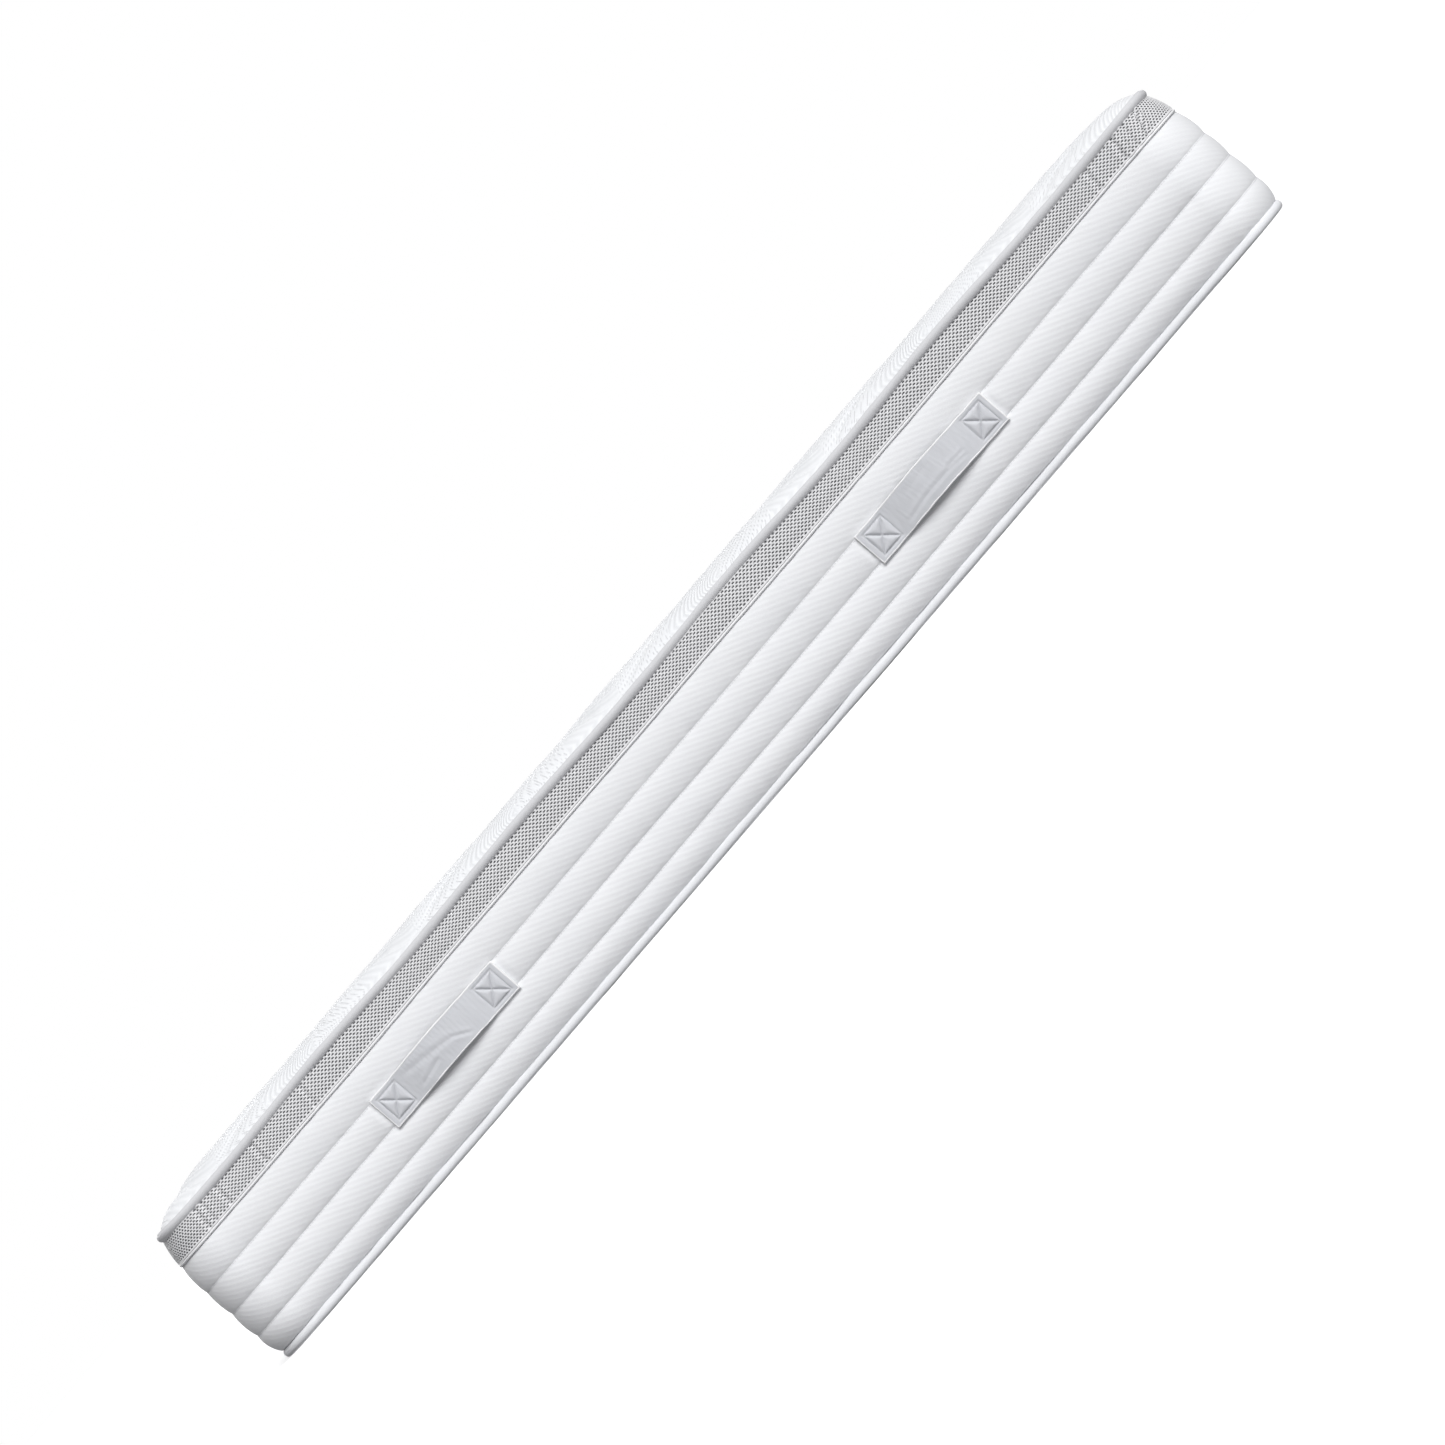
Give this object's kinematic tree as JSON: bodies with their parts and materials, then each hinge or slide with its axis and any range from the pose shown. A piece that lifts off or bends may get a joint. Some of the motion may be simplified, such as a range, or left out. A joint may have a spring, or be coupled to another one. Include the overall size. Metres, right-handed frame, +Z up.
{
  "type": "memory foam mattress",
  "caption": "Single memory foam mattress: layered foam core, quilted crowned top, channelled padded border with a mesh band, rolled bindings and sprung strap handles.",
  "frame": {"origin": "centre of the underside, on the surface that the mattress lies on", "axes": "+X along the length, +Y across the width towards the back side, +Z up through the foam towards the sleeping surface"},
  "size_m": [2, 0.932, 0.256],
  "materials": {
    "support_foam": "matt open-cell high-resilience foam, off-white",
    "transition_foam": "matt open-cell foam, pale blue-grey",
    "memory_foam": "matt fine-cell slow-recovery foam, ivory",
    "wadding": "lofted polyester wadding",
    "nonwoven": "thin point-bonded nonwoven",
    "panel_cloth": "white quilted jacquard knit",
    "base_cloth": "plain white quilted knit",
    "border_cloth": "white knit with a fine diagonal rib",
    "welt_cloth": "folded white knit",
    "spacer_mesh": "light grey spacer mesh with staggered holes",
    "binding_tape": "rolled light grey knit tape",
    "strap_cloth": "pearl grey ribbed satin-like knit",
    "edging_tape": "white woven edging tape",
    "webbing": "plain woven polyester webbing",
    "thread": "white polyester thread"
  },
  "bodies": {
    "root": {"support_foam": "support_foam", "transition_foam": "transition_foam", "memory_foam": "memory_foam", "base_knit": "base_cloth", "base_wadding": "wadding", "base_backing": "nonwoven", "border_knit": "border_cloth", "border_wadding": "wadding", "border_backing": "nonwoven", "border_thread": "thread", "seam_welt": "welt_cloth", "welt_thread": "thread", "mesh_band": "spacer_mesh", "base_binding": "binding_tape", "front_left_tab_cover": "strap_cloth", "front_left_tab_core": "webbing", "front_left_tab_edging": "edging_tape", "front_left_box_stitch": "thread", "front_left_patch": "nonwoven", "front_right_tab_cover": "strap_cloth", "front_right_tab_core": "webbing", "front_right_tab_edging": "edging_tape", "front_right_box_stitch": "thread", "front_right_patch": "nonwoven", "back_left_tab_cover": "strap_cloth", "back_left_tab_core": "webbing", "back_left_tab_edging": "edging_tape", "back_left_box_stitch": "thread", "back_left_patch": "nonwoven", "back_right_tab_cover": "strap_cloth", "back_right_tab_core": "webbing", "back_right_tab_edging": "edging_tape", "back_right_box_stitch": "thread", "back_right_patch": "nonwoven"},
    "top_deck": {"top_knit": "panel_cloth", "top_wadding": "wadding", "top_backing": "nonwoven", "top_binding": "binding_tape"},
    "front_left_grip": {"front_left_grip_cover": "strap_cloth", "front_left_grip_core": "webbing", "front_left_grip_edging": "edging_tape"},
    "front_right_grip": {"front_right_grip_cover": "strap_cloth", "front_right_grip_core": "webbing", "front_right_grip_edging": "edging_tape"},
    "back_left_grip": {"back_left_grip_cover": "strap_cloth", "back_left_grip_core": "webbing", "back_left_grip_edging": "edging_tape"},
    "back_right_grip": {"back_right_grip_cover": "strap_cloth", "back_right_grip_core": "webbing", "back_right_grip_edging": "edging_tape"}
  },
  "joints": [
    {"name": "comfort_layer_sink", "type": "slide", "parent": "root", "child": "top_deck", "axis": [0, 0, -1], "range_m": [0, 0.02], "stiffness_N_per_m": 40000, "springref_m": -0.001, "deforming": ["memory_foam", "mesh_band"]},
    {"name": "front_left_handle_pull", "type": "slide", "parent": "root", "child": "front_left_grip", "axis": [0, -1, 0], "range_m": [0, 0.02], "stiffness_N_per_m": 100},
    {"name": "front_right_handle_pull", "type": "slide", "parent": "root", "child": "front_right_grip", "axis": [0, -1, 0], "range_m": [0, 0.02], "stiffness_N_per_m": 100},
    {"name": "back_left_handle_pull", "type": "slide", "parent": "root", "child": "back_left_grip", "axis": [0, 1, 0], "range_m": [0, 0.02], "stiffness_N_per_m": 100},
    {"name": "back_right_handle_pull", "type": "slide", "parent": "root", "child": "back_right_grip", "axis": [0, 1, 0], "range_m": [0, 0.02], "stiffness_N_per_m": 100}
  ]
}
